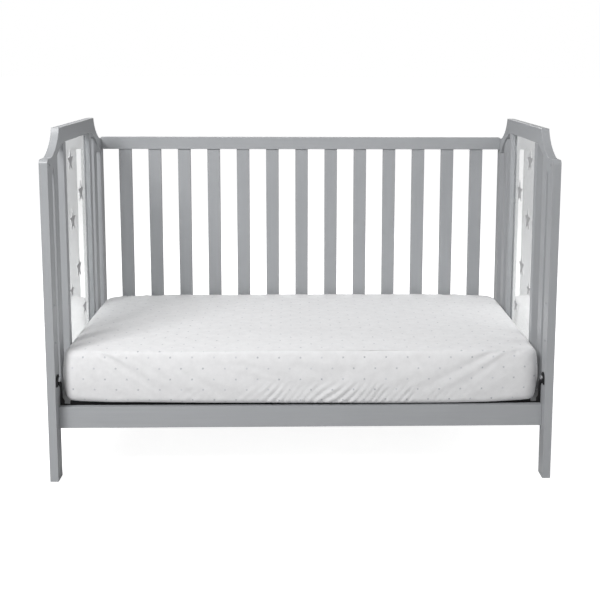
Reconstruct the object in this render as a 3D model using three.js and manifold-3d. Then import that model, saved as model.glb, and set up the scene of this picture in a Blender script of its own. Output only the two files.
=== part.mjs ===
// A convertible baby crib in its day-bed form, built as the separate pieces that it is made of.
// Millimetres, +Z up, +X along the crib, front facing -Y. The origin is at the floor,
// under the middle of the crib.
import * as THREE from 'three';
import { mergeVertices } from 'three/addons/utils/BufferGeometryUtils.js';
import Module from 'manifold-3d';

const wasm = await Module();
wasm.setup();

// ---- Driving dimensions ----
const innerLength = 1330;       // between the inner faces of the end panels
const woodThickness = 22.5;     // posts, crests, end rails and stiles
const depth = 770;              // from the front posts' front to the rear posts' back
const postWidth = 49;
const postTop = 884;
const postTopRadius = 12;
const seam = 0.2;               // hairline between two pieces that meet
const play = 0.3;               // clearance round a bolt, and under what rests

const crestTop = 958;
const crestFlatStart = 147;     // from the outer edge of the post to the crest's flat top
const crestStep = 886;          // the small ledge where the crest's cove meets the post
const crestStepEnd = 58;
const crestCoveControl = { y: 131.5, z: 912 };
const crestUnderside = 914;
const crestUndersideStart = 192;
const crestLegBottom = 838;
const crestLegControl = { y: 118, z: 896 };
const undersideSamples = 60;    // straight pieces that stand for the leg's curve where slats meet it

const endRailBottom = 159;
const endRailTop = 225;
const narrowSlatThickness = 14;
const outerSlatStart = 90;
const slatWidth = 44;
const slatTopSteps = 4;
const slatTopGap = 0.5;
const stileStart = 193;
const stileWidth = 28;

const panelThickness = 4;
const panelPlane = 16;          // from the inner face of the end to the middle of the panel
const grooveDepth = 6;
const panelBite = 5.5;          // how far the panel reaches into its groove
const grooveWidth = panelThickness + 0.6;

const backRailThickness = 22;
const backTopRail = { bottom: 848, top: 888 };
const backSlatCount = 13;
const backSlatWidth = 42;
const backSlatPitch = 97.8;

const frontRailSetback = 30;
const frontRailThickness = 19;
const frontRail = { bottom: 142, top: 201.5 };

const boltRadius = 3;
const boltLength = 60;
const boltHeadRadius = 6.5;
const boltHeadLength = 5;
const boltHeadRecess = 0.5;
const socketRadius = 2.8;
const socketDepth = 2.6;
const hangerBoltHead = 5;
const railBoltInset = 16;       // the front rail's bolts, in from its two edges

const heightHoles = [282, 385.5, 489];   // the three settings of the mattress support
const holeRadius = 3.6;
const holeDepth = 14;
const crestFixingHole = 868;

const supportTop = 211.7;
const supportHalfLength = 638;
const supportFront = 52;
const barWidth = 25;
const steel = 3;
const deckStrip = 14;
const deckColumns = 9;
const deckRows = 4;

const hangerHeadHalf = 14;
const hangerHeadBottom = 264;
const hangerFoot = { start: 50, end: 90, bottom: 189 };
const hangerToe = { height: 12, rise: 28 };
const hangerArm = { front: 50, back: 68, shoulder: 256, drop: 6 };

const mattressHalfLength = 652;
const mattress = { front: 33, back: 717, bottom: 214, top: 358 };
const mattressCornerRadius = 45;
const mattressLeastRadius = 10;
const mattressEdge = 12;
const mattressEdgeEase = 0.3;   // where the top edge's middle ring lies, as a share of the edge
const mattressCrown = 6;
const crownRings = [{ inset: 110, share: 0.7 }, { inset: 240, share: 1 }];
const sheetThickness = 2;
const sheetGap = 0.4;
const sheetHem = 70;
const sheetOpeningRadius = 20;

// ---- Places ----
const halfInner = innerLength / 2;
const halfOuter = halfInner + woodThickness;
const woodMiddle = halfInner + woodThickness / 2;
const fromFront = (distance) => distance - depth / 2;
const postMiddle = postWidth / 2;
const backRailFront = depth - postMiddle - backRailThickness / 2;
const stileEnd = stileStart + stileWidth;
const roundSides = 16;

// ---- Materials ----
const paint = () => new THREE.MeshStandardMaterial({ color: 0x9b9ea2, roughness: 0.45, metalness: 0 });
const acrylic = () => new THREE.MeshStandardMaterial({
  color: 0xeef1f2, roughness: 0.05, metalness: 0, transparent: true, opacity: 0.3,
});
const blackSteel = () => new THREE.MeshStandardMaterial({ color: 0x17171a, roughness: 0.5, metalness: 0.4 });
const zinc = () => new THREE.MeshStandardMaterial({ color: 0xb9bcc0, roughness: 0.35, metalness: 1 });
const cotton = () => new THREE.MeshStandardMaterial({ color: 0xf2f2f3, roughness: 0.9, metalness: 0 });
const ticking = () => new THREE.MeshStandardMaterial({ color: 0xe9e9e4, roughness: 0.7, metalness: 0 });

const crib = new THREE.Group();

function addPiece(name, geometry, material) {
  const mesh = new THREE.Mesh(geometry, material);
  mesh.name = name;
  crib.add(mesh);
  return mesh;
}

// ---- Solids ----
// An outline in Y and Z, made thick along X from xLow.
function sidePiece(shape, xLow, thickness) {
  const geometry = new THREE.ExtrudeGeometry(shape, {
    depth: thickness, bevelEnabled: false, curveSegments: 10,
  });
  const turn = new THREE.Matrix4().makeBasis(
    new THREE.Vector3(0, 1, 0), new THREE.Vector3(0, 0, 1), new THREE.Vector3(1, 0, 0),
  );
  return geometry.applyMatrix4(turn).translate(xLow, 0, 0);
}

// An outline in X and Y, made thick along Z from zLow.
function planPiece(shape, zLow, height) {
  const geometry = new THREE.ExtrudeGeometry(shape, {
    depth: height, bevelEnabled: false, curveSegments: 8,
  });
  return geometry.translate(0, 0, zLow);
}

function block(xLow, xHigh, yLow, yHigh, zLow, zHigh) {
  const geometry = new THREE.BoxGeometry(xHigh - xLow, yHigh - yLow, zHigh - zLow);
  return geometry.translate((xLow + xHigh) / 2, (yLow + yHigh) / 2, (zLow + zHigh) / 2);
}

function polygon(points) {
  return new THREE.Shape(points.map(([x, y]) => new THREE.Vector2(x, y)));
}

// A round bar along X between two places.
function barAlongX(xStart, xEnd, y, z, radius) {
  const geometry = new THREE.CylinderGeometry(radius, radius, Math.abs(xEnd - xStart), roundSides);
  return geometry.rotateZ(Math.PI / 2).translate((xStart + xEnd) / 2, y, z);
}

function toManifold(geometry) {
  const bare = geometry.clone();
  bare.deleteAttribute('normal');
  bare.deleteAttribute('uv');
  const merged = mergeVertices(bare, 1e-4);
  return new wasm.Manifold(new wasm.Mesh({
    numProp: 3,
    vertProperties: new Float32Array(merged.attributes.position.array),
    triVerts: new Uint32Array(merged.index.array),
  }));
}

function toGeometry(solid) {
  const mesh = solid.getMesh();
  const geometry = new THREE.BufferGeometry();
  geometry.setAttribute('position', new THREE.BufferAttribute(new Float32Array(mesh.vertProperties), 3));
  geometry.setIndex(new THREE.BufferAttribute(new Uint32Array(mesh.triVerts), 1));
  geometry.computeVertexNormals();
  return geometry;
}

function cut(geometry, tools) {
  return toGeometry(tools.reduce((solid, tool) => solid.subtract(toManifold(tool)), toManifold(geometry)));
}

function join(geometries) {
  const [first, ...rest] = geometries.map(toManifold);
  return toGeometry(rest.reduce((solid, next) => solid.add(next), first));
}

// The underside of a crest's leg, by distance from the posts' outer edge.
const undersideCurve = new THREE.QuadraticBezierCurve(
  new THREE.Vector2(postWidth + seam, crestLegBottom),
  new THREE.Vector2(crestLegControl.y, crestLegControl.z),
  new THREE.Vector2(crestUndersideStart, crestUnderside),
);

function undersideAt(distance) {
  const line = undersideCurve.getPoints(undersideSamples);
  const next = line.findIndex((point) => point.x >= distance);
  const [before, after] = [line[next - 1], line[next]];
  return before.y + (after.y - before.y) * (distance - before.x) / (after.x - before.x);
}

// ---- The fasteners' places: side is -1 for the left end and 1 for the right ----
const sides = [['left', -1], ['right', 1]];
const rows = [['front', postMiddle], ['rear', depth - postMiddle]];
const frontRailMiddle = frontRailSetback + frontRailThickness / 2;
const backRailMiddle = depth - postMiddle;
const railBolts = [
  ['front_rail_bolt_lower', frontRailMiddle, frontRail.bottom + railBoltInset],
  ['front_rail_bolt_upper', frontRailMiddle, frontRail.top - railBoltInset],
  ['back_bottom_rail_bolt', backRailMiddle, (endRailBottom + endRailTop) / 2],
  ['back_top_rail_bolt', backRailMiddle, (backTopRail.bottom + backTopRail.top) / 2],
];

// ---- End panels ----
function post(side, middle) {
  const isFront = middle < depth / 2;
  const outline = new THREE.Shape();
  outline.moveTo(0, 0);
  outline.lineTo(postWidth, 0);
  outline.lineTo(postWidth, postTop);
  outline.lineTo(postTopRadius, postTop);
  outline.absarc(postTopRadius, postTop - postTopRadius, postTopRadius, Math.PI / 2, Math.PI, false);
  outline.closePath();
  const geometry = sidePiece(outline, -woodThickness / 2, woodThickness);
  if (!isFront) geometry.rotateZ(Math.PI);
  geometry.translate(side * woodMiddle, fromFront(isFront ? 0 : depth), 0);

  const inner = side * (halfInner - 1);
  const y = fromFront(middle);
  const tools = heightHoles.map((z) => barAlongX(inner, side * (halfInner + holeDepth), y, z, holeRadius));
  tools.push(barAlongX(inner, side * (halfInner + holeDepth), y, crestFixingHole, holeRadius));
  for (const [, boltY, boltZ] of railBolts) {
    if ((boltY < depth / 2) !== isFront) continue;
    const headSeat = side * (halfOuter - boltHeadRecess - boltHeadLength - play);
    tools.push(barAlongX(inner, side * (halfOuter + 1), fromFront(boltY), boltZ, boltRadius + play));
    tools.push(barAlongX(headSeat, side * (halfOuter + 1), fromFront(boltY), boltZ, boltHeadRadius + play));
  }
  return cut(geometry, tools);
}

function panelGroove(side, yStart, yEnd, zLow, zHigh) {
  const middle = side * (halfInner + panelPlane);
  return block(middle - grooveWidth / 2, middle + grooveWidth / 2,
    fromFront(yStart), fromFront(yEnd), zLow, zHigh);
}

function crest(side) {
  const [leg, cove] = [crestLegControl, crestCoveControl];
  const outline = new THREE.Shape();
  outline.moveTo(postWidth + seam, crestLegBottom);
  outline.quadraticCurveTo(leg.y, leg.z, crestUndersideStart, crestUnderside);
  outline.lineTo(depth - crestUndersideStart, crestUnderside);
  outline.quadraticCurveTo(depth - leg.y, leg.z, depth - postWidth - seam, crestLegBottom);
  outline.lineTo(depth - postWidth - seam, crestStep);
  outline.lineTo(depth - crestStepEnd, crestStep);
  outline.quadraticCurveTo(depth - cove.y, cove.z, depth - crestFlatStart, crestTop);
  outline.lineTo(crestFlatStart, crestTop);
  outline.quadraticCurveTo(cove.y, cove.z, crestStepEnd, crestStep);
  outline.lineTo(postWidth + seam, crestStep);
  outline.closePath();
  const geometry = sidePiece(outline, side * woodMiddle - woodThickness / 2, woodThickness);
  geometry.translate(0, fromFront(0), 0);
  const groove = panelGroove(side, stileEnd - grooveDepth, depth - stileEnd + grooveDepth,
    crestUnderside - 1, crestUnderside + grooveDepth);
  return cut(geometry, [groove]);
}

function endBottomRail(side) {
  const body = block(side * woodMiddle - woodThickness / 2, side * woodMiddle + woodThickness / 2,
    fromFront(postWidth + seam), fromFront(depth - postWidth - seam), endRailBottom, endRailTop);
  const groove = panelGroove(side, stileEnd - grooveDepth, depth - stileEnd + grooveDepth,
    endRailTop - grooveDepth, endRailTop + 1);
  return cut(body, [groove]);
}

// The slat beside a post; its top follows the curve of the crest's leg.
function outerSlat(side, isFront) {
  const slatEnd = outerSlatStart + slatWidth;
  const points = [[outerSlatStart, endRailTop + seam], [slatEnd, endRailTop + seam]];
  for (let step = 0; step <= slatTopSteps; step += 1) {
    const distance = slatEnd - step * slatWidth / slatTopSteps;
    points.push([distance, undersideAt(distance) - slatTopGap]);
  }
  const geometry = sidePiece(polygon(points), -narrowSlatThickness / 2, narrowSlatThickness);
  if (!isFront) geometry.rotateZ(Math.PI);
  return geometry.translate(side * woodMiddle, fromFront(isFront ? 0 : depth), 0);
}

// The grooved stile that holds one edge of the clear panel.
function stile(side, isFront) {
  const start = isFront ? stileStart : depth - stileEnd;
  const body = block(side * woodMiddle - woodThickness / 2, side * woodMiddle + woodThickness / 2,
    fromFront(start), fromFront(start + stileWidth), endRailTop + seam, crestUnderside - seam);
  const grooveStart = isFront ? stileEnd - grooveDepth : depth - stileEnd - 1;
  const groove = panelGroove(side, grooveStart, grooveStart + grooveDepth + 1,
    endRailTop - 1, crestUnderside + 1);
  return cut(body, [groove]);
}

function clearPanel(side) {
  const middle = side * (halfInner + panelPlane);
  return block(middle - panelThickness / 2, middle + panelThickness / 2,
    fromFront(stileEnd - panelBite), fromFront(depth - stileEnd + panelBite),
    endRailTop - panelBite, crestUnderside + panelBite);
}

for (const [sideName, side] of sides) {
  for (const [rowName, middle] of rows) {
    const isFront = rowName === 'front';
    addPiece(`${rowName}_${sideName}_post`, post(side, middle), paint());
    addPiece(`${sideName}_${rowName}_slat`, outerSlat(side, isFront), paint());
    addPiece(`${sideName}_${rowName}_stile`, stile(side, isFront), paint());
  }
  addPiece(`${sideName}_crest_rail`, crest(side), paint());
  addPiece(`${sideName}_bottom_rail`, endBottomRail(side), paint());
  addPiece(`${sideName}_clear_panel`, clearPanel(side), acrylic());
}

// ---- Rails between the ends ----
function longRail(yStart, thickness, zLow, zHigh) {
  const halfLength = halfInner - seam;
  const body = block(-halfLength, halfLength, fromFront(yStart), fromFront(yStart + thickness), zLow, zHigh);
  const boltEnd = halfOuter - boltHeadRecess - boltLength - 1;
  const tools = [];
  for (const [, boltY, boltZ] of railBolts) {
    if (boltY < yStart || boltY > yStart + thickness || boltZ < zLow || boltZ > zHigh) continue;
    for (const [, side] of sides) {
      tools.push(barAlongX(side * boltEnd, side * (halfInner + 1), fromFront(boltY), boltZ,
        boltRadius + play));
    }
  }
  return cut(body, tools);
}

addPiece('front_rail',
  longRail(frontRailSetback, frontRailThickness, frontRail.bottom, frontRail.top), paint());
addPiece('back_top_rail',
  longRail(backRailFront, backRailThickness, backTopRail.bottom, backTopRail.top), paint());
addPiece('back_bottom_rail',
  longRail(backRailFront, backRailThickness, endRailBottom, endRailTop), paint());

for (let number = 1; number <= backSlatCount; number += 1) {
  const x = (number - (backSlatCount + 1) / 2) * backSlatPitch;
  const slatFront = fromFront(backRailMiddle - narrowSlatThickness / 2);
  const slat = block(x - backSlatWidth / 2, x + backSlatWidth / 2,
    slatFront, slatFront + narrowSlatThickness, endRailTop + seam, backTopRail.bottom - seam);
  addPiece(`back_slat_${String(number).padStart(2, '0')}`, slat, paint());
}

// ---- Bolts ----
// A socket-head bolt: its head ends at headEnd, and its shank points towards the other end.
function bolt(headEnd, direction, headLength, length, y, z) {
  const seat = headEnd + direction * headLength;
  const body = join([
    barAlongX(headEnd, seat, y, z, boltHeadRadius),
    barAlongX(seat - direction, headEnd + direction * length, y, z, boltRadius),
  ]);
  const socket = new THREE.CylinderGeometry(socketRadius, socketRadius, socketDepth + 1, 6);
  socket.rotateZ(Math.PI / 2);
  socket.translate(headEnd + direction * (socketDepth - 1) / 2, y, z);
  return cut(body, [socket]);
}

for (const [sideName, side] of sides) {
  for (const [name, y, z] of railBolts) {
    const geometry = bolt(side * (halfOuter - boltHeadRecess), -side, boltHeadLength, boltLength,
      fromFront(y), z);
    addPiece(`${sideName}_${name}`, geometry, zinc());
  }
}

// ---- Mattress support: an angle-iron frame with a strip deck, hung by hooks ----
// A bar of L section: the flat flange is level with the deck, the other hangs from its outer edge.
function angleBar(length) {
  const section = polygon([
    [0, 0], [barWidth, 0], [barWidth, -steel], [steel, -steel], [steel, -barWidth], [0, -barWidth],
  ]);
  return sidePiece(section, -length / 2, length);
}

const supportBack = depth - supportFront;
for (const [name, y, turn] of [['front', supportFront, 0], ['rear', supportBack, Math.PI]]) {
  const geometry = angleBar(2 * supportHalfLength).rotateZ(turn);
  addPiece(`support_${name}_bar`, geometry.translate(0, fromFront(y), supportTop), blackSteel());
}
const sideBarLength = supportBack - supportFront - 2 * (barWidth + seam);
for (const [sideName, side] of sides) {
  const geometry = angleBar(sideBarLength).rotateZ(side * Math.PI / 2);
  geometry.translate(side * supportHalfLength, 0, supportTop);
  addPiece(`support_${sideName}_bar`, geometry, blackSteel());
}

function deck() {
  const halfX = supportHalfLength - barWidth - seam;
  const halfY = (supportBack - supportFront) / 2 - barWidth - seam;
  const openX = (2 * halfX - deckStrip * (deckColumns + 1)) / deckColumns;
  const openY = (2 * halfY - deckStrip * (deckRows + 1)) / deckRows;
  const openings = [];
  for (let column = 0; column < deckColumns; column += 1) {
    for (let row = 0; row < deckRows; row += 1) {
      const x = -halfX + deckStrip + column * (openX + deckStrip);
      const y = -halfY + deckStrip + row * (openY + deckStrip);
      openings.push(block(x, x + openX, y, y + openY, supportTop - steel - 1, supportTop + 1));
    }
  }
  return cut(block(-halfX, halfX, -halfY, halfY, supportTop - steel, supportTop), openings);
}
addPiece('support_deck', deck(), blackSteel());

// A hook that hangs on its bolt by a slot open at the bottom; it lifts straight off.
// A rear hook is made as the front hook of the other end, and turned half round.
function hanger(side, isFront) {
  const face = isFront ? side : -side;
  const slotHalf = boltRadius + play;
  const boltZ = heightHoles[0];
  const headTop = boltZ + play;
  const shape = new THREE.Shape();
  shape.moveTo(postMiddle - hangerHeadHalf, hangerHeadBottom);
  shape.lineTo(postMiddle - slotHalf, hangerHeadBottom);
  shape.lineTo(postMiddle - slotHalf, headTop);
  shape.absarc(postMiddle, headTop, slotHalf, Math.PI, 0, true);
  shape.lineTo(postMiddle + slotHalf, hangerHeadBottom);
  shape.lineTo(postMiddle + hangerHeadHalf, hangerHeadBottom);
  shape.lineTo(hangerArm.front, hangerArm.shoulder - hangerArm.drop);
  shape.lineTo(hangerFoot.start, hangerFoot.bottom);
  shape.lineTo(hangerFoot.end, hangerFoot.bottom);
  shape.lineTo(hangerFoot.end, hangerFoot.bottom + hangerToe.height);
  shape.lineTo(hangerArm.back, hangerFoot.bottom + hangerToe.rise);
  shape.lineTo(hangerArm.back, hangerArm.shoulder);
  shape.lineTo(postMiddle + hangerHeadHalf, headTop);
  shape.absarc(postMiddle, headTop, hangerHeadHalf, 0, Math.PI, false);
  shape.closePath();
  const ends = (start, end) => (face > 0 ? [start, end] : [-end, -start]);
  const [plateLow, plateHigh] = ends(halfInner - play - steel, halfInner - play);
  const [footLow, footHigh] = ends(supportHalfLength + seam, halfInner - play - 1);
  const geometry = join([
    sidePiece(shape, plateLow, plateHigh - plateLow),
    block(footLow, footHigh, hangerFoot.start, hangerFoot.end, hangerFoot.bottom, hangerFoot.bottom + steel),
  ]);
  geometry.translate(0, fromFront(0), 0);
  return isFront ? geometry : geometry.rotateZ(Math.PI);
}

for (const [sideName, side] of sides) {
  for (const [rowName, middle] of rows) {
    addPiece(`hanger_${rowName}_${sideName}`, hanger(side, rowName === 'front'), blackSteel());
    const headEnd = side * (halfInner - 2 * play - steel - hangerBoltHead);
    const geometry = bolt(headEnd, side, hangerBoltHead, hangerBoltHead + steel + holeDepth - 1,
      fromFront(middle), heightHoles[0]);
    addPiece(`hanger_bolt_${rowName}_${sideName}`, geometry, zinc());
  }
}

// ---- Mattress and fitted sheet ----
function roundedPlan(halfX, yLow, yHigh, radius) {
  const shape = new THREE.Shape();
  shape.moveTo(halfX, yLow + radius);
  shape.lineTo(halfX, yHigh - radius);
  shape.absarc(halfX - radius, yHigh - radius, radius, 0, Math.PI / 2, false);
  shape.absarc(-halfX + radius, yHigh - radius, radius, Math.PI / 2, Math.PI, false);
  shape.absarc(-halfX + radius, yLow + radius, radius, Math.PI, 1.5 * Math.PI, false);
  shape.absarc(halfX - radius, yLow + radius, radius, 1.5 * Math.PI, 2 * Math.PI, false);
  return shape;
}

// A pillow of rounded plan: straight sides, with eased edges and a low crown on top.
function cushion(grow, zLow, zHigh) {
  const rings = [
    [mattressEdge, zLow], [0, zLow + mattressEdge], [0, zHigh - mattressEdge],
    [mattressEdge * mattressEdgeEase, zHigh - mattressEdge * mattressEdgeEase], [mattressEdge, zHigh],
    ...crownRings.map(({ inset, share }) => [inset, zHigh + mattressCrown * share]),
  ];
  const loops = rings.map(([inset, z]) => {
    const halfX = mattressHalfLength + grow - inset;
    const yLow = fromFront(mattress.front) - grow + inset;
    const yHigh = fromFront(mattress.back) + grow - inset;
    const radius = Math.max(mattressCornerRadius + grow - inset, mattressLeastRadius);
    const points = roundedPlan(halfX, yLow, yHigh, radius).getPoints(6);
    return points.map((point) => [point.x, point.y, z]);
  });
  const count = Math.min(...loops.map((loop) => loop.length));
  const positions = loops.flatMap((loop) => loop.slice(0, count).flat());
  const index = [];
  for (let ring = 0; ring + 1 < loops.length; ring += 1) {
    for (let i = 0; i < count; i += 1) {
      const [a, b] = [ring * count + i, ring * count + (i + 1) % count];
      index.push(a, b, b + count, a, b + count, a + count);
    }
  }
  const middleY = (fromFront(mattress.front) + fromFront(mattress.back)) / 2;
  positions.push(0, middleY, zLow, 0, middleY, zHigh + mattressCrown);
  const [bottom, top] = [loops.length * count, loops.length * count + 1];
  for (let i = 0; i < count; i += 1) {
    const next = (i + 1) % count;
    index.push(bottom, next, i);
    index.push(top, (loops.length - 1) * count + i, (loops.length - 1) * count + next);
  }
  const geometry = new THREE.BufferGeometry();
  geometry.setAttribute('position', new THREE.Float32BufferAttribute(positions, 3));
  geometry.setIndex(index);
  geometry.computeVertexNormals();
  return geometry;
}

addPiece('mattress_core', cushion(0, mattress.bottom + sheetGap, mattress.top), ticking());

function fittedSheet() {
  const grow = sheetGap + sheetThickness;
  const outer = cushion(grow, mattress.bottom - sheetThickness, mattress.top + grow);
  const hollow = cushion(sheetGap, mattress.bottom, mattress.top + sheetGap);
  const plan = roundedPlan(mattressHalfLength - sheetHem, fromFront(mattress.front + sheetHem),
    fromFront(mattress.back - sheetHem), sheetOpeningRadius);
  const opening = planPiece(plan, mattress.bottom - 2 * sheetThickness, 3 * sheetThickness);
  return toGeometry(toManifold(outer).subtract(toManifold(hollow)).subtract(toManifold(opening)));
}
addPiece('fitted_sheet', fittedSheet(), cotton());

export default crib;
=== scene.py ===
# The looks of a baby crib in its day-bed form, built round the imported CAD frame.
# Metres, +Z up, the open front facing -Y.
import math

import bmesh
import bpy
import numpy as np
from mathutils import Matrix, Vector, noise
from mathutils.bvhtree import BVHTree


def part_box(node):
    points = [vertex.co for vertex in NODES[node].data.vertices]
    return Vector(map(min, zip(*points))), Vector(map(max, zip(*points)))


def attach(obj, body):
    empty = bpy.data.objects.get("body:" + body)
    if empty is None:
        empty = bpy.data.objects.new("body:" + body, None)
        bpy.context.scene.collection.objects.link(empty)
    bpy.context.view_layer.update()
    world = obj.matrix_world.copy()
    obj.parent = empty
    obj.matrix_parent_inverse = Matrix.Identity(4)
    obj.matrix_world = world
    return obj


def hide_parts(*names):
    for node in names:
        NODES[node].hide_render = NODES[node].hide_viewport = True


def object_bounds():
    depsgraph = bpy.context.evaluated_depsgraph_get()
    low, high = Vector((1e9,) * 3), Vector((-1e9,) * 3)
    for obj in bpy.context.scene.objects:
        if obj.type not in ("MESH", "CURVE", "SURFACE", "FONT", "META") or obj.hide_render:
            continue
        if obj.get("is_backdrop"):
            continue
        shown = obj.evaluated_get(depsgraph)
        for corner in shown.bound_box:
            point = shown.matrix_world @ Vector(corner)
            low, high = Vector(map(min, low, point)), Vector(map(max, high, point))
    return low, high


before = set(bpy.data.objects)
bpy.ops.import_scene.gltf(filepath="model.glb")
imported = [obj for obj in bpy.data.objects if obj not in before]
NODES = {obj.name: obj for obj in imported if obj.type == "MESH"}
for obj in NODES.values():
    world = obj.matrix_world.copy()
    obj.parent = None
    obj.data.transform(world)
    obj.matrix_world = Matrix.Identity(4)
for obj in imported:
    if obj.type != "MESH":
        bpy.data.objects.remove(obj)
CAD_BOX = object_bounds()
MM = 0.001


# ---------------------------------------------------------------- camera, light and floor

CAMERA_PLACE = Vector((-0.0053, -3.0841, 1.1488))
CAMERA_YAW = math.radians(1.687)
CAMERA_PITCH = math.radians(8.376)
CAMERA_ROLL = math.radians(-0.230)
CAMERA_LENS = 61.84
CAMERA_SHIFT = (-0.05, -0.15)
CLIPPING = (0.1, 60.0)
AMBIENT = 0.25          # light that the surroundings give
BACKDROP = 1.0          # how bright the surroundings look
FLOOR_GLOW = 0.87       # what the floor adds to its own lit shade where it is seen
FLOOR_REACH = 60.0
LIGHT_TARGET = (0.0, 0.0, 0.45)
LIGHTS = (              # name, place, (width, height), watts
    ("key", (-2.0, -2.5, 3.0), (1.4, 1.4), 128.0),
    ("back", (0.0, 3.0, 2.6), (2.6, 1.4), 50.0),
    ("top", (-1.6, 0.0, 3.0), (1.4, 1.4), 10.0),
    ("fill", (3.0, -0.6, 2.0), (1.4, 1.4), 21.0),
    ("front", (0.8, -3.4, 1.4), (2.0, 1.2), 9.0),
)


def make_camera():
    data = bpy.data.cameras.new("camera")
    data.lens = CAMERA_LENS
    data.sensor_width = 36.0
    data.shift_x, data.shift_y = CAMERA_SHIFT
    data.dof.use_dof = False
    data.clip_start, data.clip_end = CLIPPING
    level, dip = math.cos(CAMERA_PITCH), math.sin(CAMERA_PITCH)
    ahead = Vector((math.sin(CAMERA_YAW) * level, math.cos(CAMERA_YAW) * level, -dip))
    right = Vector((math.cos(CAMERA_YAW), -math.sin(CAMERA_YAW), 0.0))
    down = ahead.cross(right)
    turned_right = right * math.cos(CAMERA_ROLL) + down * math.sin(CAMERA_ROLL)
    turned_down = down * math.cos(CAMERA_ROLL) - right * math.sin(CAMERA_ROLL)
    turn = Matrix((turned_right, -turned_down, -ahead)).transposed().to_4x4()
    camera = bpy.data.objects.new("camera", data)
    camera.matrix_world = Matrix.Translation(CAMERA_PLACE) @ turn
    bpy.context.scene.collection.objects.link(camera)
    bpy.context.scene.camera = camera


def area_light(name, place, size, power):
    data = bpy.data.lights.new(name, "AREA")
    data.shape = "RECTANGLE"
    data.size, data.size_y = size
    data.energy = power
    light = bpy.data.objects.new(name, data)
    light.location = place
    aim = Vector(LIGHT_TARGET) - Vector(place)
    light.rotation_euler = aim.to_track_quat("-Z", "Y").to_euler()
    bpy.context.scene.collection.objects.link(light)


def make_studio():
    world = bpy.data.worlds.new("studio")
    world.use_nodes = True
    tree = world.node_tree
    glow = tree.nodes["Background"]
    glow.inputs["Color"].default_value = (1.0, 1.0, 1.0, 1.0)
    glow.inputs["Strength"].default_value = AMBIENT
    backdrop = tree.nodes.new("ShaderNodeBackground")
    backdrop.inputs["Color"].default_value = (1.0, 1.0, 1.0, 1.0)
    backdrop.inputs["Strength"].default_value = BACKDROP
    mix = tree.nodes.new("ShaderNodeMixShader")
    tree.links.new(looked_at(tree), mix.inputs[0])
    tree.links.new(glow.outputs[0], mix.inputs[1])
    tree.links.new(backdrop.outputs[0], mix.inputs[2])
    tree.links.new(mix.outputs[0], tree.nodes["World Output"].inputs["Surface"])
    bpy.context.scene.world = world
    for name, place, size, power in LIGHTS:
        area_light(name, place, size, power)
    bpy.context.scene.view_settings.view_transform = "Standard"
    bpy.context.scene.view_settings.look = "None"

    mesh = bpy.data.meshes.new("floor")
    corners = [(FLOOR_REACH * x, FLOOR_REACH * y, 0) for x, y in ((-1, -1), (1, -1), (1, 1), (-1, 1))]
    mesh.from_pydata(corners, [], [(0, 1, 2, 3)])
    floor = bpy.data.objects.new("floor", mesh)
    bpy.context.scene.collection.objects.link(floor)
    floor.data.materials.append(floor_material())
    floor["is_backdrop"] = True


# ---------------------------------------------------------------- material helpers


class Nodes:
    """A small hand for building one material's nodes."""

    def __init__(self, name):
        self.material = bpy.data.materials.new(name)
        self.material.use_nodes = True
        self.tree = self.material.node_tree
        self.shader = self.tree.nodes["Principled BSDF"]
        self.output = self.tree.nodes["Material Output"]

    def add(self, kind, settings=None, **inputs):
        node = self.tree.nodes.new(kind)
        for key, value in (settings or {}).items():
            setattr(node, key, value)
        for key, value in inputs.items():
            self.feed(node.inputs[key.replace("_", " ")], value)
        return node

    def feed(self, socket, value):
        if isinstance(value, bpy.types.NodeSocket):
            self.tree.links.new(value, socket)
        else:
            socket.default_value = value

    def math(self, operation, *values):
        node = self.tree.nodes.new("ShaderNodeMath")
        node.operation = operation
        for socket, value in zip(node.inputs, values):
            self.feed(socket, value)
        return node.outputs[0]

    def where(self):
        return self.add("ShaderNodeTexCoord").outputs["Object"]

    def stretched(self, scale):
        return self.add("ShaderNodeMapping", Vector=self.where(), Scale=scale).outputs["Vector"]

    def noise(self, scale, detail=3.0, roughness=0.5, vector=None):
        return self.add("ShaderNodeTexNoise", Vector=vector or self.where(), Scale=scale,
                        Detail=detail, Roughness=roughness).outputs["Fac"]

    def spread(self, value, low, high, start=0.0, end=1.0):
        """value, from start..end, put on low..high."""
        node = self.add("ShaderNodeMapRange")
        for key, number in (("Value", value), ("From Min", start), ("From Max", end),
                            ("To Min", low), ("To Max", high)):
            self.feed(node.inputs[key], number)
        return node.outputs["Result"]

    def blend(self, share, first, second):
        node = self.add("ShaderNodeMix", {"data_type": "RGBA"})
        self.feed(node.inputs[0], share)
        self.feed(node.inputs[6], first)
        self.feed(node.inputs[7], second)
        return node.outputs[2]

    def bump(self, height, distance, strength=1.0, under=None):
        node = self.add("ShaderNodeBump", Height=height, Distance=distance, Strength=strength)
        if under is not None:
            self.feed(node.inputs["Normal"], under)
        return node.outputs["Normal"]

    def principled(self, **inputs):
        for key, value in inputs.items():
            self.feed(self.shader.inputs[key.replace("_", " ")], value)


def rgb(red, green, blue):
    return (red, green, blue, 1.0)


# ---------------------------------------------------------------- materials


def looked_at(tree):
    """1 for rays that look at a surface, also through glass or in a mirror; 0 for light's own rays."""
    path = tree.nodes.new("ShaderNodeLightPath")
    seen = path.outputs["Is Camera Ray"]
    for kind in ("Is Transmission Ray", "Is Singular Ray"):
        either = tree.nodes.new("ShaderNodeMath")
        either.operation = "MAXIMUM"
        tree.links.new(seen, either.inputs[0])
        tree.links.new(path.outputs[kind], either.inputs[1])
        seen = either.outputs[0]
    return seen


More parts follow.
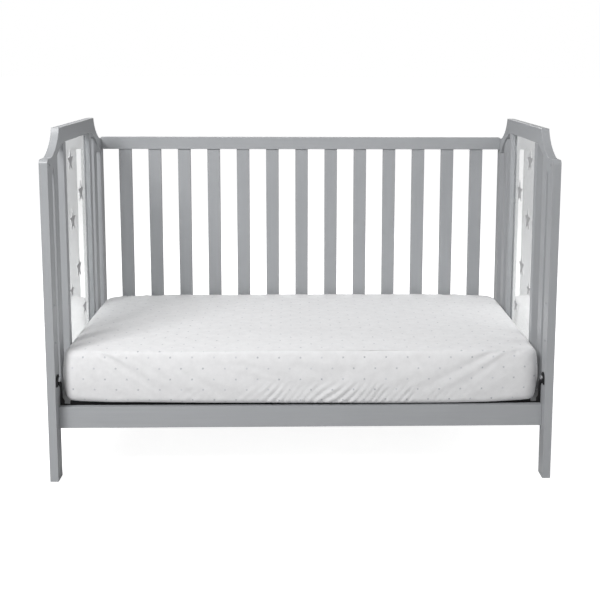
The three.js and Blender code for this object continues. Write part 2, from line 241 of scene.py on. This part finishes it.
def floor_material():
    n = Nodes("pale_floor")
    mottle = n.noise(3.0, 4.0)
    n.principled(Base_Color=n.blend(n.spread(mottle, 0.0, 1.0, 0.35, 0.65), rgb(0.60, 0.60, 0.60),
                                    rgb(0.63, 0.63, 0.63)), Roughness=0.75)
    glow = n.math("MULTIPLY", looked_at(n.tree), FLOOR_GLOW)
    n.principled(Emission_Color=rgb(1.0, 1.0, 1.0), Emission_Strength=glow)
    return n.material


SPLIT = "ShaderNodeSeparateXYZ"
GRAIN_ALONG = {"x": (5.0, 160.0, 160.0), "y": (160.0, 5.0, 160.0), "z": (160.0, 160.0, 5.0)}


def painted_wood(along):
    """Satin grey paint over close-grained wood that runs along one axis."""
    n = Nodes(f"grey_paint_{along}")
    grain = n.noise(1.0, 4.0, 0.6, n.stretched(GRAIN_ALONG[along]))
    cloud = n.noise(7.0, 3.0)
    peel = n.noise(620.0, 2.0)
    tone = n.math("ADD", n.math("MULTIPLY", grain, 0.6), n.math("MULTIPLY", cloud, 0.4))
    colour = n.blend(n.spread(tone, 0.0, 1.0, 0.3, 0.7), rgb(0.334, 0.344, 0.358),
                     rgb(0.364, 0.374, 0.388))
    grained = n.bump(grain, 0.06 * MM, 0.3)
    n.principled(Base_Color=colour, Roughness=n.spread(cloud, 0.36, 0.48, 0.3, 0.7),
                 Normal=n.bump(peel, 0.03 * MM, 0.5, grained), Coat_Weight=0.15, Coat_Roughness=0.25)
    return n.material


def clear_acrylic():
    """Clear polished sheet; light passes on through it, a little dimmed."""
    n = Nodes("clear_acrylic")
    haze = n.noise(9.0, 3.0)
    n.principled(Base_Color=n.blend(haze, rgb(0.74, 0.75, 0.75), rgb(0.78, 0.785, 0.785)),
                 Roughness=0.0, Transmission_Weight=1.0, IOR=1.49,
                 Normal=n.bump(n.noise(3.0, 1.0), 0.25 * MM, 0.15))
    open_to_light = n.add("ShaderNodeBsdfTransparent", Color=rgb(0.62, 0.63, 0.63))
    path = n.add("ShaderNodeLightPath")
    mix = n.add("ShaderNodeMixShader")
    n.feed(mix.inputs[0], path.outputs["Is Shadow Ray"])
    n.feed(mix.inputs[1], n.shader.outputs[0])
    n.feed(mix.inputs[2], open_to_light.outputs[0])
    n.feed(n.output.inputs["Surface"], mix.outputs[0])
    return n.material


def black_steel():
    n = Nodes("black_powder_coat")
    grit = n.noise(900.0, 2.0)
    cloud = n.noise(12.0, 3.0)
    n.principled(Base_Color=n.blend(cloud, rgb(0.007, 0.007, 0.008), rgb(0.013, 0.013, 0.014)),
                 Roughness=n.spread(cloud, 0.45, 0.6), Normal=n.bump(grit, 0.06 * MM, 0.6))
    n.shader.inputs["Specular IOR Level"].default_value = 0.2
    return n.material


def zinc():
    n = Nodes("zinc_plate")
    cloud = n.noise(160.0, 3.0)
    brushed = n.noise(1.0, 3.0, 0.6, n.stretched((900.0, 200.0, 200.0)))
    n.principled(Base_Color=n.blend(cloud, rgb(0.52, 0.53, 0.55), rgb(0.68, 0.69, 0.71)), Metallic=1.0,
                 Roughness=n.spread(brushed, 0.22, 0.42), Normal=n.bump(brushed, 0.02 * MM, 0.5))
    return n.material


def star_vinyl():
    n = Nodes("star_vinyl")
    fleck = n.noise(700.0, 2.0)
    cloud = n.noise(20.0, 2.0)
    n.principled(Base_Color=n.blend(fleck, rgb(0.46, 0.46, 0.465), rgb(0.56, 0.56, 0.565)),
                 Roughness=n.spread(cloud, 0.3, 0.45), Metallic=0.35,
                 Normal=n.bump(fleck, 0.03 * MM, 0.5))
    return n.material


PRINT_STEP = (59 * MM, 30 * MM)    # from star to star along a row, and from row to row
PRINT_STAR = 4.0 * MM
PRINT_DRIFT = 9 * MM
PRINT_STRENGTH = 0.85
STAR_WAIST = 0.42                  # inner corners' distance from the middle, as a share of the tips'
TURNS_OVER = 0.72                  # how far a face turns before the print follows the next side


def star_mask(n, across, up, radius):
    """1 inside a five-pointed star about the middle, 0 outside."""
    squares = n.math("ADD", n.math("MULTIPLY", across, across), n.math("MULTIPLY", up, up))
    reach = n.math("SQRT", squares)
    turn = n.math("ARCTAN2", across, up)
    fold = n.math("ABSOLUTE", n.math("WRAP", turn, math.pi / 5, -math.pi / 5))
    waist_x, waist_y = STAR_WAIST * math.cos(math.pi / 5), STAR_WAIST * math.sin(math.pi / 5)
    edge = math.hypot(waist_y, 1 - waist_x)
    along, aside = waist_y / edge, (1 - waist_x) / edge
    side = n.math("ADD", n.math("MULTIPLY", n.math("COSINE", fold), along),
                  n.math("MULTIPLY", n.math("SINE", fold), aside))
    return n.math("LESS_THAN", n.math("MULTIPLY", reach, side), along * radius)


def printed_cotton():
    """White percale with a small scattered print; the print and weave turn down over the sides."""
    n = Nodes("printed_cotton")
    x, y, z = n.add(SPLIT, Vector=n.where()).outputs
    normal = n.add("ShaderNodeNewGeometry").outputs["Normal"]
    facing = n.add(SPLIT, Vector=normal).outputs
    level = n.math("GREATER_THAN", n.math("ABSOLUTE", facing[2]), TURNS_OVER)
    endways = n.math("GREATER_THAN", n.math("ABSOLUTE", facing[0]), TURNS_OVER)
    across = n.math("ADD", n.math("MULTIPLY", n.math("SUBTRACT", 1.0, endways), x),
                    n.math("MULTIPLY", endways, y))
    across = n.math("ADD", n.math("MULTIPLY", level, x),
                    n.math("MULTIPLY", n.math("SUBTRACT", 1.0, level), across))
    along = n.math("ADD", n.math("MULTIPLY", level, y),
                   n.math("MULTIPLY", n.math("SUBTRACT", 1.0, level), z))
    drift = n.add("ShaderNodeTexNoise", Vector=n.where(), Scale=2.6, Detail=0.0).outputs["Color"]
    drift_x, drift_y, _ = n.add(SPLIT, Vector=drift).outputs
    across = n.math("ADD", across, n.math("MULTIPLY", drift_x, PRINT_DRIFT))
    along = n.math("ADD", along, n.math("MULTIPLY", drift_y, PRINT_DRIFT))
    row = n.math("FLOOR", n.math("DIVIDE", along, PRINT_STEP[1]))
    offset = n.math("MULTIPLY", n.math("PINGPONG", row, 1.0), PRINT_STEP[0] / 2)
    shifted = n.math("ADD", across, offset)
    column = n.math("FLOOR", n.math("DIVIDE", shifted, PRINT_STEP[0]))
    local_x = n.math("SUBTRACT", n.math("WRAP", shifted, PRINT_STEP[0], 0.0), PRINT_STEP[0] / 2)
    local_y = n.math("SUBTRACT", n.math("WRAP", along, PRINT_STEP[1], 0.0), PRINT_STEP[1] / 2)
    star = star_mask(n, local_x, local_y, PRINT_STAR)
    cell = n.add("ShaderNodeCombineXYZ", X=column, Y=row)
    shade = n.add("ShaderNodeTexWhiteNoise", {"noise_dimensions": "2D"}, Vector=cell.outputs[0])
    ink = n.blend(shade.outputs["Value"], rgb(0.36, 0.37, 0.40), rgb(0.60, 0.61, 0.64))
    weft = n.add("ShaderNodeTexWave", {"bands_direction": "X"}, Vector=n.where(), Scale=420.0,
                 Distortion=0.6, Detail=1.0).outputs["Fac"]
    warp = n.add("ShaderNodeTexWave", {"bands_direction": "DIAGONAL"}, Vector=n.where(), Scale=400.0,
                 Distortion=0.6, Detail=1.0).outputs["Fac"]
    weave = n.math("MULTIPLY", weft, warp)
    slub = n.noise(45.0, 4.0, 0.6)
    cloth = n.blend(n.spread(slub, 0.0, 1.0, 0.3, 0.7), rgb(0.71, 0.71, 0.718),
                    rgb(0.77, 0.77, 0.778))
    threaded = n.bump(weave, 0.10 * MM, 0.35)
    n.principled(Base_Color=n.blend(n.math("MULTIPLY", star, PRINT_STRENGTH), cloth, ink),
                 Roughness=n.spread(slub, 0.82, 0.93),
                 Normal=n.bump(slub, 0.35 * MM, 0.35, threaded), Sheen_Weight=0.25, Sheen_Roughness=0.45)
    n.shader.inputs["Specular IOR Level"].default_value = 0.25
    return n.material


def mattress_cover():
    """Wipe-clean white ticking with a fine quilted diamond in it."""
    n = Nodes("mattress_cover")
    x, y, z = n.add(SPLIT, Vector=n.where()).outputs
    pitch, seam_width = 60 * MM, 6 * MM
    off_seam = []
    for slope in (1.0, -1.0):
        place = n.math("ADD", x, n.math("MULTIPLY", n.math("ADD", y, z), slope))
        off_middle = n.math("SUBTRACT", n.math("WRAP", place, pitch, 0.0), pitch / 2)
        off_seam.append(n.math("ABSOLUTE", off_middle))
    seam = n.spread(n.math("MINIMUM", *off_seam), 0.0, 1.0, 0.0, seam_width)
    grain = n.noise(800.0, 2.0)
    cloud = n.noise(18.0, 3.0)
    n.principled(Base_Color=n.blend(cloud, rgb(0.70, 0.70, 0.69), rgb(0.78, 0.78, 0.765)),
                 Roughness=n.spread(cloud, 0.5, 0.65),
                 Normal=n.bump(grain, 0.05 * MM, 0.5, n.bump(seam, 1.2 * MM, 0.8)))
    return n.material


make_camera()
make_studio()

# ---------------------------------------------------------------- the CAD nodes' looks

WOOD_ROUNDING = 1.6 * MM
RAIL_ROUNDING = 3.2 * MM
METAL_ROUNDING = 0.5 * MM
WELD_DISTANCE = 0.02 * MM
FLATNESS = math.radians(0.5)
SHARP_EDGE = math.radians(40)
FAIR_WEIGHT = 100

STARS = (               # distance from the crib's front, height of the middle, size: mm
    (331, 848, 64),
    (465, 741, 64),
    (340, 671, 66),
    (405, 516, 64),
    (300, 466, 42),
    (472, 378, 50),
)
STAR_THICKNESS = 1.2 * MM
STAR_STANDOFF = 0.2 * MM
STAR_ROUNDING = 0.35 * MM


def panel_star(name, side, place, size, material):
    """A thin cut-out star on the inner face of a clear panel."""
    panel_low, panel_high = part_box(f"{'left' if side < 0 else 'right'}_clear_panel")
    inner_face = panel_high[0] if side < 0 else panel_low[0]
    radius = size / (1 + math.cos(math.pi / 5))
    outline = []
    for step in range(10):
        reach = radius * (1 if step % 2 == 0 else STAR_WAIST)
        angle = math.pi / 2 + step * math.pi / 5
        outline.append((place[0] + reach * math.cos(angle), place[1] + reach * math.sin(angle)))
    mesh = bpy.data.meshes.new(name)
    shape = bmesh.new()
    back = inner_face - side * STAR_STANDOFF
    face = shape.faces.new([shape.verts.new((back, y, z)) for y, z in outline])
    raised = bmesh.ops.extrude_face_region(shape, geom=[face])["geom"]
    lifted = [part for part in raised if isinstance(part, bmesh.types.BMVert)]
    bmesh.ops.translate(shape, verts=lifted, vec=(-side * STAR_THICKNESS, 0, 0))
    bmesh.ops.recalc_face_normals(shape, faces=shape.faces)
    shape.to_mesh(mesh)
    shape.free()
    star = bpy.data.objects.new(name, mesh)
    bpy.context.scene.collection.objects.link(star)
    dress(star, material)
    eased(star, STAR_ROUNDING)
    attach(star, "frame")


def eased(node, radius, segments=2):
    """Rounds the sharp edges of a piece, keeps its flats flat and shades it smoothly."""
    weld = node.modifiers.new("weld", "WELD")
    weld.merge_threshold = WELD_DISTANCE
    flat = node.modifiers.new("whole_faces", "DECIMATE")
    flat.decimate_type = "DISSOLVE"
    flat.angle_limit = FLATNESS
    bevel = node.modifiers.new("eased_edges", "BEVEL")
    bevel.width = radius
    bevel.segments = segments
    bevel.limit_method = "ANGLE"
    bevel.angle_limit = SHARP_EDGE
    bevel.use_clamp_overlap = True
    even = node.modifiers.new("even_faces", "WEIGHTED_NORMAL")
    even.keep_sharp = True
    even.weight = FAIR_WEIGHT
    for face in node.data.polygons:
        face.use_smooth = True


def dress(node, material):
    node.data.materials.clear()
    node.data.materials.append(material)


PAINT = {axis: painted_wood(axis) for axis in "xyz"}
ACRYLIC, STEEL, ZINC = clear_acrylic(), black_steel(), zinc()

for name, node in NODES.items():
    if name.startswith("hanger_bolt") or name.endswith("_bolt") or "_bolt_" in name:
        dress(node, ZINC)
        eased(node, METAL_ROUNDING)
    elif name.startswith(("support", "hanger")):
        dress(node, STEEL)
        eased(node, METAL_ROUNDING)
    elif name.endswith("clear_panel"):
        dress(node, ACRYLIC)
    elif name not in ("mattress_core", "fitted_sheet"):
        low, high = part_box(name)
        longest = max(range(3), key=lambda axis: high[axis] - low[axis])
        dress(node, PAINT["xyz"[longest]])
        eased(node, RAIL_ROUNDING if name == "front_rail" else WOOD_ROUNDING, segments=3)

VINYL = star_vinyl()
FRAME_FRONT = CAD_BOX[0][1]
for end, side in (("left", -1), ("right", 1)):
    for number, (distance, height, size) in enumerate(STARS, start=1):
        place = (FRAME_FRONT + distance * MM, height * MM)
        panel_star(f"{end}_panel_star_{number}", side, place, size * MM, VINYL)

# ---------------------------------------------------------------- mattress and fitted sheet

SHEET_LOW, SHEET_HIGH = (Vector(corner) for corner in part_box("fitted_sheet"))
CLOTH_CELL = 5.2 * MM
PLAN_RADIUS = 46 * MM          # corners, seen from above
TOP_ROUNDING = 21 * MM
FOOT_ROUNDING = 14 * MM
CORNER_TUCK = 14 * MM          # how much rounder the foot is at the corners
CORNER_DROP = 3 * MM
CORNER_REACH = 0.16
CORNER_RIM = 0.01
CROWN = 9 * MM
HEM_REACH = 48 * MM            # how far the hem reaches in under the mattress
SIDE_BULGE = 4.5 * MM
SAG_RETURN = 0.3               # share of its sag that each ring of the hem hands on to the next
ELASTIC_LIFT = 4 * MM
CORE_INSET = 3.2 * MM          # the mattress under the sheet's skin


def rounded_plan(half_x, half_y, radius, count_x, count_y):
    """Grid points of a rectangle with its corners drawn in to quarter circles."""
    xs = np.linspace(-half_x, half_x, count_x + 1)
    ys = np.linspace(-half_y, half_y, count_y + 1)
    grid = np.stack(np.meshgrid(xs, ys, indexing="ij"), axis=-1)
    past = np.abs(grid) - (np.array([half_x, half_y]) - radius)
    square = np.clip(past / radius, 0, 1)
    swung = square * np.sqrt(1 - square[..., ::-1] ** 2 / 2)
    in_corner = (past > 0).all(axis=-1, keepdims=True)
    return np.where(in_corner, np.sign(grid) * (np.abs(grid) - past + swung * radius), grid)


def rim_order(count_x, count_y):
    """Grid indices once round the rim, anticlockwise from the front left corner."""
    front = [(i, 0) for i in range(count_x)]
    right = [(count_x, j) for j in range(count_y)]
    back = [(i, count_y) for i in range(count_x, 0, -1)]
    left = [(0, j) for j in range(count_y, 0, -1)]
    return front + right + back + left


def rim_directions(rim, half_x, half_y, radius):
    """Outward directions of the rim's points, in plan."""
    skeleton = np.clip(rim, [radius - half_x, radius - half_y], [half_x - radius, half_y - radius])
    away = rim - skeleton
    return away / np.linalg.norm(away, axis=1, keepdims=True)


def smooth(value, start, end):
    """0 up to start, 1 from end, and an S curve between them."""
    share = np.clip((value - start) / (end - start), 0, 1)
    return share * share * (3 - 2 * share)


def corner_share(x, y, half_x, half_y):
    """1 at the corners of the mattress, falling to 0 away from them."""
    return smooth(np.abs(x), half_x - CORNER_REACH, half_x - CORNER_RIM) * smooth(
        np.abs(y), half_y - CORNER_REACH, half_y - CORNER_RIM)


FRONT_SAG = (                  # place along the front: m, how far the lower edge sags there: mm
    (-0.60, 0.0),
    (-0.45, 0.0),
    (-0.27, 3.0),
    (0.0, 5.0),
    (0.27, 7.0),
    (0.40, 6.5),
    (0.55, 4.5),
    (0.60, 3.5),
)


def front_sag(rim, half_y):
    """How far the sheet's lower edge hangs in front of the support's bar, in metres."""
    places, depths = zip(*FRONT_SAG)
    front = smooth(-rim[:, 1], half_y - 0.05, half_y - 0.03)
    return front * (ELASTIC_LIFT + np.interp(rim[:, 0], places, depths) * MM)


def wrap_rings(low, high, rim):
    """Rings from the top's rim over the edge, down the side and under the foot.

    Each ring is two arrays round the rim: steps outward from the top's edge, and heights."""
    half_x, half_y = (high.x - low.x) / 2, (high.y - low.y) / 2
    corner = corner_share(rim[:, 0], rim[:, 1], half_x, half_y)
    level = np.zeros(len(rim))
    foot = FOOT_ROUNDING + CORNER_TUCK * corner
    sag = front_sag(rim, half_y)
    edge_height = high.z - CROWN - TOP_ROUNDING - CORNER_DROP * corner
    rings = []
    turns = max(3, round(TOP_ROUNDING * math.pi / 2 / CLOTH_CELL))
    for step in range(1, turns + 1):
        angle = math.pi / 2 * step / turns
        rings.append((TOP_ROUNDING * (math.sin(angle) - 1) + level,
                      edge_height + TOP_ROUNDING * math.cos(angle)))
    drops = round((edge_height.mean() - low.z - FOOT_ROUNDING) / CLOTH_CELL)
    for step in range(1, drops + 1):
        share = step / drops
        rings.append((SIDE_BULGE * math.sin(math.pi * share) + level,
                      edge_height * (1 - share) + (low.z + foot - sag) * share))
    turns = max(4, round(FOOT_ROUNDING * math.pi / 2 / CLOTH_CELL) + 1)
    for step in range(1, turns + 1):
        angle = math.pi / 2 * step / turns
        rings.append((foot * (math.cos(angle) - 1), low.z + foot * (1 - math.sin(angle)) - sag))
    return rings


def cushion_mesh(name, low, high, hem):
    """A crowned, rounded slab: open below inside its hem, or closed if it has no hem."""
    half_x, half_y = (high.x - low.x) / 2, (high.y - low.y) / 2
    middle = np.array([(high.x + low.x) / 2, (high.y + low.y) / 2])
    inner_x, inner_y = half_x - TOP_ROUNDING, half_y - TOP_ROUNDING
    count_x, count_y = round(2 * inner_x / CLOTH_CELL), round(2 * inner_y / CLOTH_CELL)
    inner_radius = PLAN_RADIUS - TOP_ROUNDING
    plan = rounded_plan(inner_x, inner_y, inner_radius, count_x, count_y)
    order = rim_order(count_x, count_y)
    rim = np.array([plan[i, j] for i, j in order])
    away = rim_directions(rim, inner_x, inner_y, inner_radius)

    corner = corner_share(plan[..., 0], plan[..., 1], half_x, half_y)
    swell = (1 - (plan[..., 0] / inner_x) ** 4) * (1 - (plan[..., 1] / inner_y) ** 2)
    heights = high.z - CROWN + CROWN * swell - CORNER_DROP * corner
    rings = [np.column_stack([plan.reshape(-1, 2), heights.reshape(-1)])]
    for outward, height in wrap_rings(low, high, rim):
        spot = rim + away * (TOP_ROUNDING + outward)[:, None]
        rings.append(np.column_stack([spot, height]))
    if hem:
        for step in range(1, round(HEM_REACH / CLOTH_CELL) + 1):
            inward = 1 - step * CLOTH_CELL / np.array([half_x, half_y])
            height = low.z + (height - low.z) * SAG_RETURN
            rings.append(np.column_stack([spot * inward, height]))

    faces = []
    for i in range(count_x):
        for j in range(count_y):
            first = i * (count_y + 1) + j
            faces.append((first, first + count_y + 1, first + count_y + 2, first + 1))
    above = [i * (count_y + 1) + j for i, j in order]
    start, total = len(rings[0]), len(order)
    for _ in rings[1:]:
        ring = list(range(start, start + total))
        for k in range(total):
            after = (k + 1) % total
            faces.append((above[k], ring[k], ring[after], above[after]))
        above, start = ring, start + total
    if not hem:
        faces.append(tuple(above))

    vertices = np.concatenate(rings)
    vertices[:, :2] += middle
    mesh = bpy.data.meshes.new(name)
    mesh.from_pydata(vertices.tolist(), [], faces)
    mesh.update()
    for face in mesh.polygons:
        face.use_smooth = True
    slab = bpy.data.objects.new(name, mesh)
    bpy.context.scene.collection.objects.link(slab)
    return slab


GATHER_WIDTH = 23 * MM
GATHER_DEPTH = 3.1 * MM
GATHER_HEIGHT = 66 * MM
GATHER_LEAN = 0.9              # how far a fold leans sideways as it rises
GATHER_WANDER = 1.6            # how unevenly the folds are spaced, in folds
FOLDS_AT_ENDS = 0.55
FOLDS_AT_FRONT = 0.22
FOLDS_WHERE_BUSY = 0.85


def gather_strength(x, y, half_y):
    """How strongly the elastic bunches the cloth, by place round the mattress."""
    front = smooth(-y, half_y - 0.09, half_y - 0.03)
    busy = smooth(x, -0.36, -0.02) * (1 - smooth(x, 0.30, 0.44))
    return FOLDS_AT_ENDS * (1 - front) + front * (FOLDS_AT_FRONT + FOLDS_WHERE_BUSY * busy)


def gather(vertices, low, high):
    """Starts the folds that the elastic makes in the lower edge of the sheet."""
    middle = (low + high) / 2
    half_y = (high.y - low.y) / 2
    moved = vertices.copy()
    for k, (x, y, z) in enumerate(vertices):
        rise = z - low.z
        if rise > GATHER_HEIGHT:
            continue
        x, y = x - middle.x, y - middle.y
        on_long_side = abs(y) / half_y > abs(x) / (high.x - middle.x)
        along = x if on_long_side else y
        wander = noise.noise(Vector((along * 9, 3.1 if on_long_side else 8.7, y)))
        phase = along / GATHER_WIDTH - GATHER_LEAN * rise / GATHER_WIDTH + GATHER_WANDER * wander
        wave = math.sin(2 * math.pi * phase)
        patchy = 0.2 + 0.8 * smooth(noise.noise(Vector((along * 17, 1.7, z * 4))), -0.25, 0.45)
        reach = (1 - smooth(rise, 0.25 * GATHER_HEIGHT, GATHER_HEIGHT)) * patchy
        depth = GATHER_DEPTH * gather_strength(x, y, half_y) * reach * wave
        side = math.copysign(1, y if on_long_side else x)
        outward = Vector((0, side, 0)) if on_long_side else Vector((side, 0, 0))
        moved[k] += np.array(outward * depth)
    return moved


def vertex_array(mesh):
    flat = np.empty(len(mesh.vertices) * 3)
    mesh.vertices.foreach_get("co", flat)
    return flat.reshape(-1, 3)


def put_vertices(mesh, places):
    mesh.vertices.foreach_set("co", np.asarray(places, float).reshape(-1))
    mesh.update()


CLOTH_FRAMES = 20
CLOTH_REACH = 7 * MM           # the furthest that the settling may move a point
ELASTIC_PULL = 0.22            # how much the elastic shortens the hem
CLOTH_EASE = -0.012            # negative: the cloth is cut a little large
CLOTH_CLEARANCE = 1.0 * MM     # the least that the sheet stands off the mattress
END_FADE = (0.05, 0.01)        # where the settling fades out, measured in from the mattress's ends
WEIGHT_LEVELS = 50


def keep_outside(places, solid):
    """Moves points that lie inside the solid, or too near it, back out to the clearance."""
    faces = [tuple(face.vertices) for face in solid.data.polygons]
    tree = BVHTree.FromPolygons([corner.co for corner in solid.data.vertices], faces)
    kept = places.copy()
    for k, place in enumerate(places):
        nearest, outward, _, _ = tree.find_nearest(Vector(place))
        if (Vector(place) - nearest).dot(outward) < CLOTH_CLEARANCE:
            kept[k] = nearest + outward * CLOTH_CLEARANCE
    return kept


def weigh(cloth, name, weights):
    """A vertex group with these weights, in even steps."""
    group = cloth.vertex_groups.new(name=name)
    levels = np.round(np.clip(weights, 0, 1) * WEIGHT_LEVELS).astype(int)
    for level in range(1, WEIGHT_LEVELS + 1):
        chosen = np.nonzero(levels == level)[0]
        if len(chosen):
            group.add([int(v) for v in chosen], level / WEIGHT_LEVELS, "REPLACE")
    return group.name


def settle(cloth, solid):
    """Lets the elastic pull the sheet snug round the mattress, and keeps the shape it comes to."""
    start = vertex_array(cloth.data)
    pad = solid.modifiers.new("collision", "COLLISION")
    solid.collision.thickness_outer = 1.5 * MM
    solid.collision.cloth_friction = 8
    rise = start[:, 2] - SHEET_LOW.z
    elastic = 1 - smooth(rise, 1 * MM, 12 * MM)
    held = smooth(start[:, 2], SHEET_HIGH.z - CROWN - 8 * MM, SHEET_HIGH.z - CROWN)
    modifier = cloth.modifiers.new("cloth", "CLOTH")
    settings = modifier.settings
    settings.quality = 5
    settings.mass = 0.15
    settings.tension_stiffness = settings.compression_stiffness = 12
    settings.shear_stiffness = 4
    settings.bending_stiffness = 0.08
    settings.air_damping = 3
    settings.effector_weights.gravity = 0
    settings.vertex_group_mass = weigh(cloth, "held", held)
    settings.pin_stiffness = 1
    settings.shrink_min = CLOTH_EASE
    settings.shrink_max = ELASTIC_PULL
    settings.vertex_group_shrink = weigh(cloth, "elastic", elastic)
    modifier.collision_settings.distance_min = 1.2 * MM
    modifier.collision_settings.collision_quality = 2
    modifier.collision_settings.use_self_collision = False
    modifier.point_cache.frame_start, modifier.point_cache.frame_end = 1, CLOTH_FRAMES
    scene = bpy.context.scene
    for step in range(1, CLOTH_FRAMES + 1):
        scene.frame_set(step)
    settled = cloth.evaluated_get(bpy.context.evaluated_depsgraph_get())
    shift = vertex_array(settled.data) - start
    length = np.linalg.norm(shift, axis=1, keepdims=True)
    shift *= np.minimum(1, CLOTH_REACH / np.maximum(length, 1e-9))
    cloth.modifiers.remove(modifier)
    solid.modifiers.remove(pad)
    cloth.vertex_groups.clear()
    scene.frame_set(1)
    half_x = (SHEET_HIGH.x - SHEET_LOW.x) / 2
    shift *= 1 - smooth(np.abs(start[:, :1]), half_x - END_FADE[0], half_x - END_FADE[1])
    put_vertices(cloth.data, start + shift)


inset = Vector((CORE_INSET,) * 3)
core = cushion_mesh("mattress_pad", SHEET_LOW + inset, SHEET_HIGH - inset, hem=False)
sheet = cushion_mesh("cotton_sheet", SHEET_LOW, SHEET_HIGH, hem=True)
put_vertices(sheet.data, gather(vertex_array(sheet.data), SHEET_LOW, SHEET_HIGH))
settle(sheet, core)
core.data.polygons[-1].flip()   # the closing face looks up while the sheet settles, then down
core.data.update()
put_vertices(sheet.data, keep_outside(vertex_array(sheet.data), core))
dress(core, mattress_cover())
dress(sheet, printed_cotton())
for piece, node, finish in ((core, "mattress_core", "mattress_foam"),
                            (sheet, "fitted_sheet", "sheet_cotton")):
    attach(piece, "mattress")
    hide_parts(node)

low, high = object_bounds()
